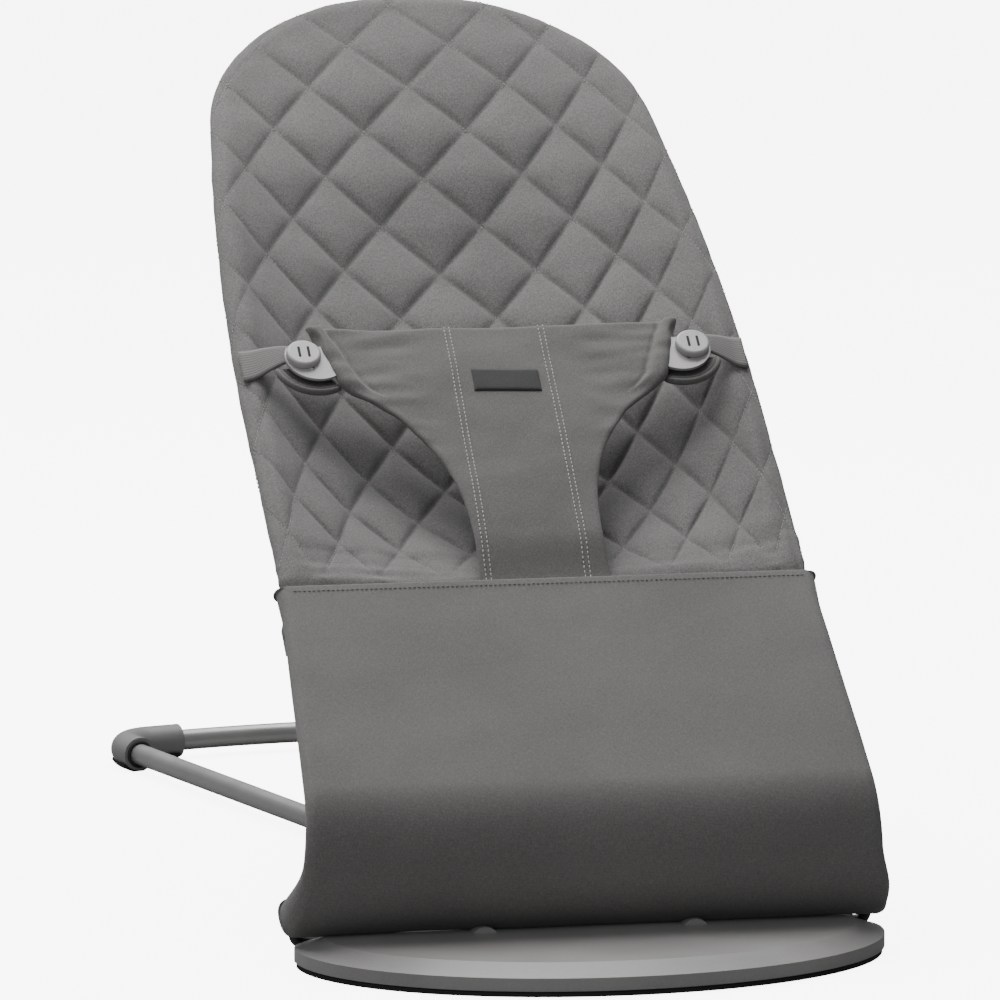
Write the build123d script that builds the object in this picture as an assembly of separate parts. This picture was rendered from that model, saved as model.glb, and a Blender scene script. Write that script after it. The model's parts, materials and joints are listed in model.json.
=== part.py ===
from build123d import *
import os
from math import acos, atan, cos, degrees, hypot, radians, sin, sqrt

# Baby bouncer seat. Millimetres, +Z up, the front of the seat faces -Y.
# The origin is at floor level under the middle of the whole object.
# "left" is the -X side and "right" is the +X side.

# Floor plate
PLATE_HALF_WIDTH = 195.0
PLATE_DEPTH = 129.5
PLATE_CORNER = 34.0
PLATE_TOP = 19.0
BEVEL_START = 12.5
BEVEL_WIDTH = 20.0
SHELL = 2.6
SKIRT_BOTTOM = 4.0
TRAY_BOTTOM = 3.0
TRAY_TOP = 6.0
SCREW_SPOTS = [(-120, -60), (0, -95), (120, -60), (-120, 5), (0, 5), (120, 5)]
BOSS_RADIUS = 4.5
SOCKET_RADIUS = 9.8
SOCKET_FRONT = -4.0
GRIP_INSET = 1.5
GRIP_WIDTH = 12.5

# Floor tubes
TUBE_RADIUS = 7.5
TUBE_WALL = 1.2
TUBE_Z = 13.0
TUBE_X = 70.0
TUBE_BEND = 333.0
SPLAY = 0.281
REAR_ARC = 560.0
REAR_ARC_TOP = 785.5
REAR_TANGENT_X = 145.0
ELBOW_RADIUS = 12.0
ELBOW_BEND = 24.0
SLIP = 0.03
SIDE_TUBE_END = 27.0
REAR_TUBE_END = 29.0
SIDE_MOUTH = 40.0
REAR_MOUTH = 49.0
SOLE_TOP = 5.5
SOLE_THICKNESS = 1.6
RIVET_SIDE = 34.0
RIVET_REAR = 40.0
RIVET_RADIUS = 1.9

# Places along Y are counted from the widest line of the floor plate.
PLATE_Y = -(REAR_ARC_TOP + TUBE_RADIUS - PLATE_DEPTH) / 2

# Seat wires
WIRE_RADIUS = 4.0
HINGE_BACK = 26.0
HINGE_Z = 11.5
HINGE_X = 191.0
WIRE_LEAN = 0.084
BARREL_RADIUS = 4.2
PIN_INNER_X = 150.0
HOUSING_RADIUS = 7.5
HOUSING_END = 181.0
BUSH_RADIUS = 5.6
ROLL_BACK = 28.3
ROLL_Z = 79.0
ROLL_RADIUS = 43.3
ROLL_UNDER = 60.0
JOINT_BACK = 138.7
JOINT_Z = 220.6
BACK_TILT = 34.13
BACK_LENGTH = 606.8
OUTLINE = [(177.9, 0), (177.8, 317.3), (149.9, 521.3), (76.9, BACK_LENGTH)]
OUTLINE_RADII = [2389.0, 142.3, 151.1]
HEM_ROD_RADIUS = 2.5
HEM_ROD_ALONG = 33.0

# Fabric: the cloth passes over the wires and turns down outside them
CLOTH_BELOW = 4.3
CLOTH_ABOVE = 8.3
CLOTH_LIP = 1.7
WIRE_INSET = 6.0
RIM_WIDTH = 13.0
SEAM_GAP = 1.0
HEM = 13.0
DISH_UP = [1, 30, 60, 100, 150, 220, 300, 380, 440, 500, 560, 610]
DISH_DEPTH = [5, 17, 29, 41, 48, 44, 33, 21, 10, 4, 4, 4]
DISH_THICKNESS = 5.0
DISH_STEPS = [0, 0.3, 0.55, 0.75, 0.9, 1.0]
DISH_POWER = 2.6
HEAD_HALF_WIDTH = 165.0

# Support bow
BOW_RADIUS = 3.5
PIVOT_ALONG = -22.0
PIVOT_BELOW = 15.0
BOW_PIN_END = 177.0
BOW_SHOULDER = 154.0
BOW_HALF_WIDTH = 112.0
BOW_LIFT = 13.75
BOW_LIFT_ANGLE = 19.0
PIN_CLEARANCE = 0.05
RECLINE_STEPS = (0.0, 7.0, 13.0)
RACK_FRONT = -14.0
RACK_BACK = 14.0
RACK_BOTTOM = 5.6
RACK_TOP = 20.6
RACK_INNER_X = 44.0
RACK_STOP = 27.0
SCREW_RADIUS = 1.9

# Restraint
FLAP_TILT = 37.0
FLAP_RISE = 9.0
FLAP_THICKNESS = 3.0
BUTTON_X = 134.0
BUTTON_UP = 208.0
BUTTON_RADIUS = 11.75
STEM_RADIUS = 3.0
FLAP_HALF = [
    (44, 1.5),
    (43, 25),
    (45, 58),
    (50, 90),
    (60, 118),
    (78, 154),
    (96, 174),
    (117, 184),
    (117, 224),
    (122, 236),
]
SLOT_PLATE_X = 125.0
SLOT_PLATE_UP = 208.0
SLOT_PLATE_RADIUS = 21.5
SLOT_PLATE_INNER_X = 112.0
SLOT_PLATE_TOP = 217.0
SLOT_PLATE_BOTTOM = 3.2
SLOT_PLATE_THICKNESS = 2.2
PIP_X = 129.5
PIP_UP = 197.5
PIP_RADIUS = 1.8
RIM_RADIUS = 3.2
RIM_BEND = 27.0
STRAP_WIDTH = 15.0
STRAP_THICKNESS = 1.4

SIDES = {"left": -1, "right": 1}


def roll_corner(half_angle, sign):
    """Corner of the roll's tangent polygon, as distances behind the plate line and above the floor."""
    reach = ROLL_RADIUS / cos(radians(half_angle))
    return ROLL_BACK - reach * cos(radians(half_angle)), ROLL_Z + sign * reach * sin(radians(half_angle))


def lower_tilt():
    """Slope of the straight lower seat wire, from the top of the roll to the seam."""
    reach = hypot(JOINT_BACK - ROLL_BACK, JOINT_Z - ROLL_Z)
    rise = degrees(acos((JOINT_BACK - ROLL_BACK) / reach))
    return rise - degrees(acos(sqrt(reach**2 - ROLL_RADIUS**2) / reach))


LOWER_TILT = lower_tilt()
JOINT_Y = PLATE_Y + JOINT_BACK


def seat_plane(tilt, rise=0.0):
    """Working plane on the seam axis: x across, y up the seat, z out of the seat."""
    up = Vector(0, -sin(radians(tilt)), cos(radians(tilt)))
    back_up = Vector(0, -sin(radians(BACK_TILT)), cos(radians(BACK_TILT)))
    return Plane(origin=Vector(0, JOINT_Y, JOINT_Z) + back_up * rise, x_dir=(1, 0, 0), z_dir=up)


BACK = seat_plane(BACK_TILT)
LOWER = seat_plane(LOWER_TILT)
FLAP = seat_plane(FLAP_TILT, FLAP_RISE)


def wire_x(z):
    """Distance of a lower seat wire from the centre at height z."""
    return HINGE_X - WIRE_LEAN * (z - HINGE_Z)


def rod(path, radius):
    """Round bar along a path."""
    return sweep(Plane(origin=path @ 0, z_dir=path % 0) * Circle(radius), path=path)


def peg(start, axis, radius, length):
    """Straight round pin from a point along an axis."""
    return extrude(Plane(origin=start, z_dir=axis) * Circle(radius), amount=length)


def block(x0, x1, y0, y1, z0, z1):
    """Box between two corners."""
    return Pos((x0 + x1) / 2, (y0 + y1) / 2, (z0 + z1) / 2) * Box(abs(x1 - x0), y1 - y0, z1 - z0)


def mirrored(side, solid):
    """The right-hand shape as it is, or its mirror image for the left."""
    return solid if side > 0 else mirror(solid, about=Plane.YZ)


# ---------------------------------------------------------------- floor plate


def plate_face(inset, z):
    """Half ellipse at the front with a straight, round-cornered back edge."""
    wide = PLATE_HALF_WIDTH - inset
    deep = PLATE_DEPTH - inset
    corner = PLATE_CORNER - inset
    back = PLATE_CORNER - inset
    front = EllipticalCenterArc((0, 0), wide, deep, start_angle=180, arc_size=180)
    right = CenterArc((wide - corner, 0), corner, 0, 90)
    rear = Line((wide - corner, back), (corner - wide, back))
    left = CenterArc((corner - wide, 0), corner, 90, 90)
    return Pos(0, PLATE_Y, z) * make_face([front, right, rear, left])


def plate_solid(inset, bottom, top):
    """Solid plate: upright edge, then a wide shallow bevel up to a flat top."""
    edge_top = BEVEL_START - (PLATE_TOP - top)
    edge = extrude(plate_face(inset, bottom), amount=edge_top - bottom)
    bevel = loft([plate_face(inset, edge_top), plate_face(inset + BEVEL_WIDTH, top)])
    return edge + bevel


def socket_solid(side, radius, front, back):
    """Round bar round one floor tube's axis, from front to back behind the plate line."""
    return peg((side * TUBE_X, PLATE_Y + front, TUBE_Z), (0, 1, 0), radius, back - front)


def housing_solid(side, radius, inner, outer):
    """Round bar on the seat hinge axis at one rear corner."""
    start = (side * inner, PLATE_Y + HINGE_BACK, HINGE_Z)
    return peg(start, (side, 0, 0), radius, outer - inner)


def plate_cover():
    outer = plate_solid(0, SKIRT_BOTTOM, PLATE_TOP)
    inner = plate_solid(SHELL, SKIRT_BOTTOM - 1, PLATE_TOP - SHELL)
    cover = outer - inner
    for x, y in SCREW_SPOTS:
        boss = peg((x, PLATE_Y + y, TRAY_TOP), (0, 0, 1), BOSS_RADIUS, PLATE_TOP - SHELL - TRAY_TOP + 0.5)
        cover += boss - peg((x, PLATE_Y + y, TRAY_TOP - 1), (0, 0, 1), 1.6, 9)
    for side in SIDES.values():
        cover += socket_solid(side, SOCKET_RADIUS, SOCKET_FRONT, PLATE_CORNER + 2)
        cover += housing_solid(side, HOUSING_RADIUS, PIN_INNER_X - 4, HOUSING_END)
    for side in SIDES.values():
        cover -= socket_solid(side, TUBE_RADIUS + SLIP, SOCKET_FRONT + 3, PLATE_CORNER + 20)
        cover -= housing_solid(side, BUSH_RADIUS + SLIP, PIN_INNER_X - 1, HOUSING_END + 9)
    return cover


def plate_tray():
    tray = extrude(plate_face(SHELL + 0.3, TRAY_BOTTOM), amount=TRAY_TOP - TRAY_BOTTOM)
    for side in SIDES.values():
        near = side * TUBE_X
        tray -= block(near - 10.5, near + 10.5, PLATE_Y + SOCKET_FRONT - 1, PLATE_Y + 60, 0, 10)
        tray -= block(side * (PIN_INNER_X - 5), side * 200, PLATE_Y + 17, PLATE_Y + 60, 0, 10)
    for x, y in SCREW_SPOTS:
        tray -= peg((x, PLATE_Y + y, 0), (0, 0, 1), 1.8, 10)
        tray -= peg((x, PLATE_Y + y, 0), (0, 0, 1), 3.5, TRAY_BOTTOM + 1.5)
    return tray


def plate_screws():
    screws = []
    for x, y in SCREW_SPOTS:
        head = peg((x, PLATE_Y + y, TRAY_BOTTOM + 0.2), (0, 0, 1), 3.3, 1.3)
        screws.append(head + peg((x, PLATE_Y + y, TRAY_BOTTOM + 1), (0, 0, 1), 1.55, 10))
    return Compound(children=screws)


def grip_ring():
    """Rubber band all round under the rim of the plate; the object stands on it."""
    band = extrude(plate_face(GRIP_INSET, 0), amount=TRAY_BOTTOM)
    return band - extrude(plate_face(GRIP_INSET + GRIP_WIDTH, -1), amount=TRAY_BOTTOM + 2)


def hinge_bush(side):
    bush = housing_solid(side, BUSH_RADIUS, PIN_INNER_X, HOUSING_END)
    return bush - housing_solid(side, WIRE_RADIUS + PIN_CLEARANCE, PIN_INNER_X - 1, HOUSING_END + 1)


# ---------------------------------------------------------------- floor tubes


def elbow_corner():
    """Where the axes of a side tube and of the rear tube would meet, on the right-hand side."""
    centre = REAR_ARC_TOP - REAR_ARC
    y = centre + sqrt(REAR_ARC**2 - REAR_TANGENT_X**2)
    slope = REAR_TANGENT_X / (y - centre)
    x = (TUBE_X + SPLAY * (y + slope * REAR_TANGENT_X - TUBE_BEND)) / (1 + SPLAY * slope)
    return Vector(x, PLATE_Y + y - slope * (x - REAR_TANGENT_X), TUBE_Z), slope


CORNER, REAR_SLOPE = elbow_corner()
ALONG_SIDE = Vector(SPLAY, 1, 0).normalized()
ALONG_REAR = Vector(-1, REAR_SLOPE, 0).normalized()


def side_tube_path(start, end):
    first = Vector(TUBE_X, PLATE_Y + start, TUBE_Z)
    bend = Vector(TUBE_X, PLATE_Y + TUBE_BEND, TUBE_Z)
    return FilletPolyline(first, bend, CORNER - ALONG_SIDE * end, radius=120)


def hollow(path):
    return rod(path, TUBE_RADIUS) - rod(path, TUBE_RADIUS - TUBE_WALL)


def side_tube(side):
    tube = hollow(side_tube_path(SOCKET_FRONT + 4, SIDE_TUBE_END))
    for spot in rack_screw_spots():
        tube -= peg(spot, (1, 0, 0), SCREW_RADIUS + SLIP, 30)
    tube -= rivet_hole(CORNER - ALONG_SIDE * RIVET_SIDE)
    return mirrored(side, tube)


def rear_tube_path():
    """Gentle arc behind the seat with a short straight end in each elbow."""
    centre_y = PLATE_Y + REAR_ARC_TOP - REAR_ARC
    half = degrees(acos(sqrt(REAR_ARC**2 - REAR_TANGENT_X**2) / REAR_ARC))
    arc = CenterArc((0, centre_y, TUBE_Z), REAR_ARC, 90 - half, 2 * half)
    tangent = CORNER + ALONG_REAR * REAR_TUBE_END
    right = Line(tangent, arc @ 0)
    left = Line(arc @ 1, (-tangent.X, tangent.Y, TUBE_Z))
    return Wire([right, arc, left])


def rear_tube():
    tube = hollow(rear_tube_path())
    hole = rivet_hole(CORNER + ALONG_REAR * RIVET_REAR)
    return tube - hole - mirror(hole, about=Plane.YZ)


def elbow_path(side_end, rear_end):
    ends = CORNER - ALONG_SIDE * side_end, CORNER, CORNER + ALONG_REAR * rear_end
    return FilletPolyline(*ends, radius=ELBOW_BEND)


def rivet_hole(point):
    return peg((point.X, point.Y, 0.5), (0, 0, 1), RIVET_RADIUS + SLIP, TUBE_Z - 1)


def corner_elbow(side):
    """Moulded corner that takes the end of a side tube and the end of the rear tube."""
    elbow = rod(elbow_path(SIDE_MOUTH, REAR_MOUTH), ELBOW_RADIUS)
    elbow -= rod(side_tube_path(SOCKET_FRONT, SIDE_TUBE_END), TUBE_RADIUS + SLIP)
    elbow -= rod(rear_tube_path(), TUBE_RADIUS + SLIP)
    elbow -= rivet_hole(CORNER - ALONG_SIDE * RIVET_SIDE)
    elbow -= rivet_hole(CORNER + ALONG_REAR * RIVET_REAR)
    return mirrored(side, elbow)


def elbow_foot(side):
    """Rubber sole moulded round the underside of an elbow."""
    sole = rod(elbow_path(SIDE_MOUTH - 3, REAR_MOUTH - 3), ELBOW_RADIUS + SOLE_THICKNESS)
    sole &= block(0, 300, CORNER.Y - 100, CORNER.Y + 100, 0, SOLE_TOP)
    sole -= rod(elbow_path(SIDE_MOUTH, REAR_MOUTH), ELBOW_RADIUS)
    return mirrored(side, sole)


def elbow_rivets():
    rivets = []
    for point in (CORNER - ALONG_SIDE * RIVET_SIDE, CORNER + ALONG_REAR * RIVET_REAR):
        for side in SIDES.values():
            rivets.append(peg((side * point.X, point.Y, 1.3), (0, 0, 1), RIVET_RADIUS, 7))
    return Compound(children=rivets)


# ---------------------------------------------------------------- support bow


def bow_pivot():
    """Pivot of the bow, hung under the lower seat wire just below the seam."""
    return LOWER.from_local_coords(Vector(0, PIVOT_ALONG, -PIVOT_BELOW))


def bow_foot(fold=0.0):
    """Middle of the bow's cross bar when the seat has folded down by some degrees."""
    hinge = Vector(0, PLATE_Y + HINGE_BACK, HINGE_Z)
    arm = bow_pivot() - hinge
    lift = radians(90 + BOW_LIFT_ANGLE)
    leg = Vector(0, arm.Y - BOW_LIFT * cos(lift), arm.Z - BOW_LIFT * sin(lift))
    turn = radians(fold)
    arm_y = arm.Y * cos(turn) + arm.Z * sin(turn)
    arm_z = arm.Z * cos(turn) - arm.Y * sin(turn)
    leg_y = leg.Y * cos(turn) + leg.Z * sin(turn)
    leg_z = leg.Z * cos(turn) - leg.Y * sin(turn)
    return hinge + Vector(0, arm_y + leg_y, arm_z - leg_z)


def support_bow():
    top = bow_pivot()
    foot = bow_foot()
    right = [(BOW_PIN_END, top), (BOW_SHOULDER, top), (BOW_HALF_WIDTH, foot)]
    points = [Vector(x, p.Y, p.Z) for x, p in right]
    points += [Vector(-x, p.Y, p.Z) for x, p in reversed(right)]
    return rod(FilletPolyline(*points, radius=[9, 16, 16, 9]), BOW_RADIUS)


def bow_bracket(side):
    """Moulded block under a lower seat wire, with the bearing for one end of the bow."""
    mid_x = wire_x(LOWER.from_local_coords(Vector(0, PIVOT_ALONG, 0)).Z)
    body = LOWER * block(mid_x - 9, mid_x + 2.8, PIVOT_ALONG - 11, PIVOT_ALONG + 11, -22, 3.2)
    body -= lower_wire_bar(WIRE_RADIUS + SLIP)
    body -= peg((mid_x - 30, bow_pivot().Y, bow_pivot().Z), (1, 0, 0), BOW_RADIUS + PIN_CLEARANCE, 60)
    return mirrored(side, body)


def rack_span():
    front = bow_foot(RECLINE_STEPS[0]).Y + RACK_FRONT
    back = bow_foot(RECLINE_STEPS[-1]).Y + RACK_BACK
    return front, back


def rack_screw_spots():
    front, back = rack_span()
    return [(RACK_INNER_X + 2, y, TUBE_Z) for y in (front + 5, back - 5)]


def bow_rack(side):
    """Block beside a floor tube: a front stop and one groove for each recline position."""
    front, back = rack_span()
    outer_x = TUBE_X - 2
    rack = block(RACK_INNER_X, outer_x, front, back, RACK_BOTTOM, RACK_TOP)
    rack += block(RACK_INNER_X, outer_x, front, front + 8, RACK_TOP - 1, RACK_STOP)
    for step in RECLINE_STEPS:
        groove = bow_foot(step)
        rack -= peg((RACK_INNER_X - 1, groove.Y, RACK_TOP), (1, 0, 0), BOW_RADIUS + 0.5, 40)
    rack -= rod(side_tube_path(SOCKET_FRONT, SIDE_TUBE_END), TUBE_RADIUS + SLIP)
    for x, y, z in rack_screw_spots():
        rack -= peg((x - 5, y, z), (1, 0, 0), SCREW_RADIUS + SLIP, 30)
        rack -= peg((x - 5, y, z), (1, 0, 0), 3.6, 5)
    return mirrored(side, rack)


def rack_screws():
    screws = []
    for spot in rack_screw_spots():
        shank = peg(spot, (1, 0, 0), SCREW_RADIUS, 20)
        head = peg((spot[0] - 1.8, spot[1], spot[2]), (1, 0, 0), 3.4, 1.8)
        screw = head + shank
        screws += [screw, mirror(screw, about=Plane.YZ)]
    return Compound(children=screws)


# ---------------------------------------------------------------- seat wires


def lower_wire_points():
    """Right-hand wire: pin, upright, roll round the front, straight slope up to the seam."""
    under_y, under_z = roll_corner(ROLL_UNDER / 2, -1)
    over_y, over_z = roll_corner((90 - LOWER_TILT) / 2, 1)
    slope = radians(90 - ROLL_UNDER)
    upright_z = under_z - (HINGE_BACK - under_y) * sin(slope) / cos(slope)
    end = LOWER.from_local_coords(Vector(0, -WIRE_RADIUS - 0.6, 0))
    side_points = [
        (HINGE_BACK, HINGE_Z),
        (HINGE_BACK, upright_z),
        (under_y, under_z),
        (over_y, over_z),
        (end.Y - PLATE_Y, end.Z),
    ]
    return [Vector(wire_x(z), PLATE_Y + y, z) for y, z in side_points]


def lower_wire_bar(radius):
    """Round bar along the upright, roll and slope of the right-hand wire."""
    inner_radii = [16, ROLL_RADIUS - 0.3, ROLL_RADIUS - 0.3]
    return rod(FilletPolyline(*lower_wire_points(), radius=inner_radii), radius)


def lower_wire(side):
    points = lower_wire_points()
    pin = Vector(PIN_INNER_X, points[0].Y, points[0].Z)
    radii = [6, 16, ROLL_RADIUS - 0.3, ROLL_RADIUS - 0.3]
    return mirrored(side, rod(FilletPolyline(pin, *points, radius=radii), WIRE_RADIUS))


def hem_rod():
    """Straight rod in the fabric's bottom hem, between the two lower wires."""
    under_y, under_z = roll_corner(ROLL_UNDER / 2, -1)
    slope = radians(90 - ROLL_UNDER)
    y = under_y + HEM_ROD_ALONG * cos(slope)
    z = under_z - HEM_ROD_ALONG * sin(slope)
    half = wire_x(z) - WIRE_RADIUS - 0.4
    return peg((-half, PLATE_Y + y, z), (1, 0, 0), HEM_ROD_RADIUS, 2 * half)


def back_face(inset, start=0.0):
    """Flat face of the backrest outline, drawn in by an inset, from the seam upwards."""
    right = [(OUTLINE[0][0], -50)] + OUTLINE[1:]
    points = right + [(-x, y) for x, y in reversed(right)]
    arch = FilletPolyline(*points, radius=OUTLINE_RADII + OUTLINE_RADII[::-1])
    closing = Line(points[-1], points[0])
    face = make_face(arch.edges() + closing.edges())
    if inset:
        face = offset(face, amount=-inset, kind=Kind.INTERSECTION)
    keep = Pos(0, start + BACK_LENGTH) * Rectangle(500, 2 * BACK_LENGTH)
    return face & keep


def arch_wire():
    """Wire loop of the backrest, with a barrel on each end that turns on the seam axis."""
    x0 = OUTLINE[0][0] - WIRE_INSET
    right = [(x0, 0)]
    for (x, y), (nx, ny) in zip(OUTLINE[1:], corner_normals()):
        right.append((x - WIRE_INSET * nx, y - WIRE_INSET * ny))
    points = right + [(-x, y) for x, y in reversed(right)]
    radii = [r - WIRE_INSET for r in OUTLINE_RADII]
    path = FilletPolyline(*[(x, y, 0) for x, y in points], radius=radii + radii[::-1])
    wire = rod(path, WIRE_RADIUS)
    for side in SIDES.values():
        wire += Pos(side * x0, 0, 0) * Rot(0, 90, 0) * Cylinder(BARREL_RADIUS, 2 * WIRE_RADIUS)
    return BACK * wire


def corner_normals():
    """Mitre direction at each corner of the outline, scaled for a unit inset."""
    points = [Vector(x, y) for x, y in OUTLINE] + [Vector(-OUTLINE[-1][0], OUTLINE[-1][1])]
    mitres = []
    for before, here, after in zip(points, points[1:], points[2:]):
        first = (here - before).normalized()
        second = (after - here).normalized()
        n1 = Vector(first.Y, -first.X)
        n2 = Vector(second.Y, -second.X)
        mitre = (n1 + n2) * (1 / (1 + n1.dot(n2)))
        mitres.append((mitre.X, mitre.Y))
    return mitres


# ---------------------------------------------------------------- fabric


def strip_face(inner, outer, hem):
    """Side view of the front panel between two offsets outside the wire's axis."""
    top = 90 - LOWER_TILT
    centre = Vector(PLATE_Y + ROLL_BACK, ROLL_Z)
    tangent = Vector(sin(radians(ROLL_UNDER)), -cos(radians(ROLL_UNDER)))
    up_seat = Vector(cos(radians(LOWER_TILT)), sin(radians(LOWER_TILT)))
    run = (Vector(JOINT_Y, JOINT_Z) - centre).dot(up_seat) - SEAM_GAP
    arcs = []
    for gap in (inner, outer):
        arcs.append(CenterArc(centre, ROLL_RADIUS + gap, 180 - top, top + ROLL_UNDER))
    lines = []
    for arc in arcs:
        lines.append(Line(arc @ 0, arc @ 0 + up_seat * run))
        lines.append(Line(arc @ 1, arc @ 1 + tangent * hem))
    closing = [Line(lines[0] @ 1, lines[2] @ 1), Line(lines[1] @ 1, lines[3] @ 1)]
    return Plane.YZ * make_face(arcs + lines + closing)


def panel_slab(inset):
    """Front view of the panel, drawn in by an inset at both sides, cut through along Y."""
    low = wire_x(0) + WIRE_INSET - inset
    high = wire_x(JOINT_Z + 20) + WIRE_INSET - inset
    corners = [(-low, 0), (low, 0), (high, JOINT_Z + 20), (-high, JOINT_Z + 20)]
    face = Plane.XZ * make_face(Polyline(*corners, close=True))
    return Pos(0, PLATE_Y + 400, 0) * extrude(face, amount=800)


def front_panel():
    cloth = extrude(strip_face(CLOTH_BELOW, CLOTH_ABOVE, HEM), amount=250, both=True)
    lips = extrude(strip_face(-WIRE_INSET, CLOTH_ABOVE, HEM - 2), amount=250, both=True)
    panel = (cloth & panel_slab(0)) + ((lips & panel_slab(0)) - panel_slab(CLOTH_LIP))
    return panel


def dish_half_width(up):
    """Half width of the dished cloth inside its rim."""
    taper = max(0.0, up - 200.0) * 0.045
    return max(HEAD_HALF_WIDTH - taper, 140.0)


def dish_section(up, depth):
    """Cross-section of the dished cloth at one height."""
    half = dish_half_width(up)
    top = [(half * u, CLOTH_ABOVE - depth * (1 - u**DISH_POWER)) for u in DISH_STEPS]
    right = [(half + 30, CLOTH_ABOVE)]
    upper = [(-x, n) for x, n in right + top[:0:-1]] + top + right
    lower = [(x, n - DISH_THICKNESS) for x, n in reversed(upper)]
    points = [(x, up, n) for x, n in upper + lower]
    return make_face(Polyline(*points, close=True))


def seat_cover():
    """Quilted cloth: a dish inside a rim that passes over the wire and turns down outside it."""
    sections = [dish_section(up, depth) for up, depth in zip(DISH_UP, DISH_DEPTH)]
    dish = loft(sections, ruled=True)
    inside = extrude(back_face(RIM_WIDTH, SEAM_GAP), amount=200, both=True)
    rim = extrude(back_face(0, SEAM_GAP), amount=CLOTH_ABOVE)
    rim -= extrude(back_face(RIM_WIDTH + 1), amount=200, both=True)
    rim -= extrude(back_face(CLOTH_LIP), amount=CLOTH_BELOW)
    lip = extrude(back_face(0, SEAM_GAP), amount=-WIRE_INSET)
    lip -= extrude(back_face(CLOTH_LIP), amount=-WIRE_INSET - 1)
    return BACK * ((dish & inside) + rim + lip)


# ---------------------------------------------------------------- restraint


def restraint_flap():
    """Cloth strap from the seam that widens into two wings."""
    points = FLAP_HALF + [(-x, y) for x, y in reversed(FLAP_HALF)]
    return FLAP * extrude(make_face(Polyline(*points, close=True)), amount=FLAP_THICKNESS)


def label_patch():
    patch = Pos(1, 181, FLAP_THICKNESS) * extrude(RectangleRounded(46, 21, 1.0), amount=0.8)
    return FLAP * patch


def keyhole_plate(side):
    """Moulded D-shaped plate on a wing's end, with a slot that is open at the top for the button's stem."""
    slot_width = 2 * STEM_RADIUS + 0.6
    slot_length = SLOT_PLATE_TOP - BUTTON_UP
    plate = Pos(SLOT_PLATE_X, SLOT_PLATE_UP) * Circle(SLOT_PLATE_RADIUS)
    reach = 2 * SLOT_PLATE_RADIUS
    plate &= Pos(SLOT_PLATE_INNER_X + reach / 2, SLOT_PLATE_TOP - reach / 2) * Rectangle(reach, reach)
    plate -= Pos(BUTTON_X, BUTTON_UP) * Circle(slot_width / 2)
    plate -= Pos(BUTTON_X, BUTTON_UP + slot_length / 2) * Rectangle(slot_width, slot_length)
    plate -= Pos(PIP_X, PIP_UP) * Circle(PIP_RADIUS)
    solid = Pos(0, 0, SLOT_PLATE_BOTTOM) * extrude(plate, amount=SLOT_PLATE_THICKNESS)
    return FLAP * mirrored(side, solid)


def wing_rim(side):
    """Padded cloth roll round the lower edge of a keyhole plate."""
    arc = CenterArc((SLOT_PLATE_X, SLOT_PLATE_UP, -0.5), RIM_BEND, 262, 86)
    return FLAP * mirrored(side, rod(arc, RIM_RADIUS))


def button_head(side):
    """Round domed button with its stem, held in the slot of the keyhole plate."""
    head = Pos(BUTTON_X, BUTTON_UP, 5.7) * extrude(Circle(BUTTON_RADIUS), amount=4.5)
    head = fillet(head.edges().group_by(Axis.Z)[-1], 2.0)
    for offset_x in (-3.2, 3.2):
        head -= Pos(BUTTON_X + offset_x, BUTTON_UP, 9.6) * Box(1.6, 10, 3)
    head += Pos(BUTTON_X, BUTTON_UP, 2.9) * extrude(Circle(STEM_RADIUS), amount=3)
    return FLAP * mirrored(side, head)


def button_washer(side):
    washer = Pos(BUTTON_X, BUTTON_UP, 0.9) * extrude(Circle(8.0), amount=2.0)
    return FLAP * mirrored(side, washer)


def side_strap(side):
    """Webbing from under the button out to the rim of the seat."""
    top = [(124, 0.8), (147, 0.8), (164, -8.2), (174, -8.2)]
    bottom = [(x, h - STRAP_THICKNESS) for x, h in reversed(top)]
    section = Plane.XZ * make_face(Polyline(*(top + bottom), close=True))
    strap = Pos(0, BUTTON_UP + STRAP_WIDTH, 0) * extrude(section, amount=STRAP_WIDTH)
    return FLAP * mirrored(side, strap)


# ---------------------------------------------------------------- output


def build_parts():
    parts = {
        "base_plate_cover": plate_cover(),
        "base_plate_tray": plate_tray(),
        "base_plate_screws": plate_screws(),
        "base_grip_ring": grip_ring(),
        "rear_tube": rear_tube(),
        "elbow_rivets": elbow_rivets(),
        "rack_screws": rack_screws(),
        "support_bow": support_bow(),
        "hem_rod": hem_rod(),
        "front_panel": front_panel(),
        "backrest_wire": arch_wire(),
        "seat_cover": seat_cover(),
        "restraint_flap": restraint_flap(),
        "label_patch": label_patch(),
    }
    paired = {
        "hinge_bush": hinge_bush,
        "side_tube": side_tube,
        "elbow": corner_elbow,
        "elbow_foot": elbow_foot,
        "bow_rack": bow_rack,
        "bow_bracket": bow_bracket,
        "lower_wire": lower_wire,
        "keyhole_plate": keyhole_plate,
        "wing_rim": wing_rim,
        "button_head": button_head,
        "button_washer": button_washer,
        "side_strap": side_strap,
    }
    for name, make in paired.items():
        for word, side in SIDES.items():
            parts[f"{name}_{word}"] = make(side)
    return parts


os.makedirs("parts", exist_ok=True)
for node, shape in build_parts().items():
    export_step(shape, f"parts/{node}.step")
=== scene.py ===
import json
from math import acos, atan, cos, degrees, hypot, pi, radians, sin, sqrt

import bmesh
import bpy
import numpy as np
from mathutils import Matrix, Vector, noise


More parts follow.
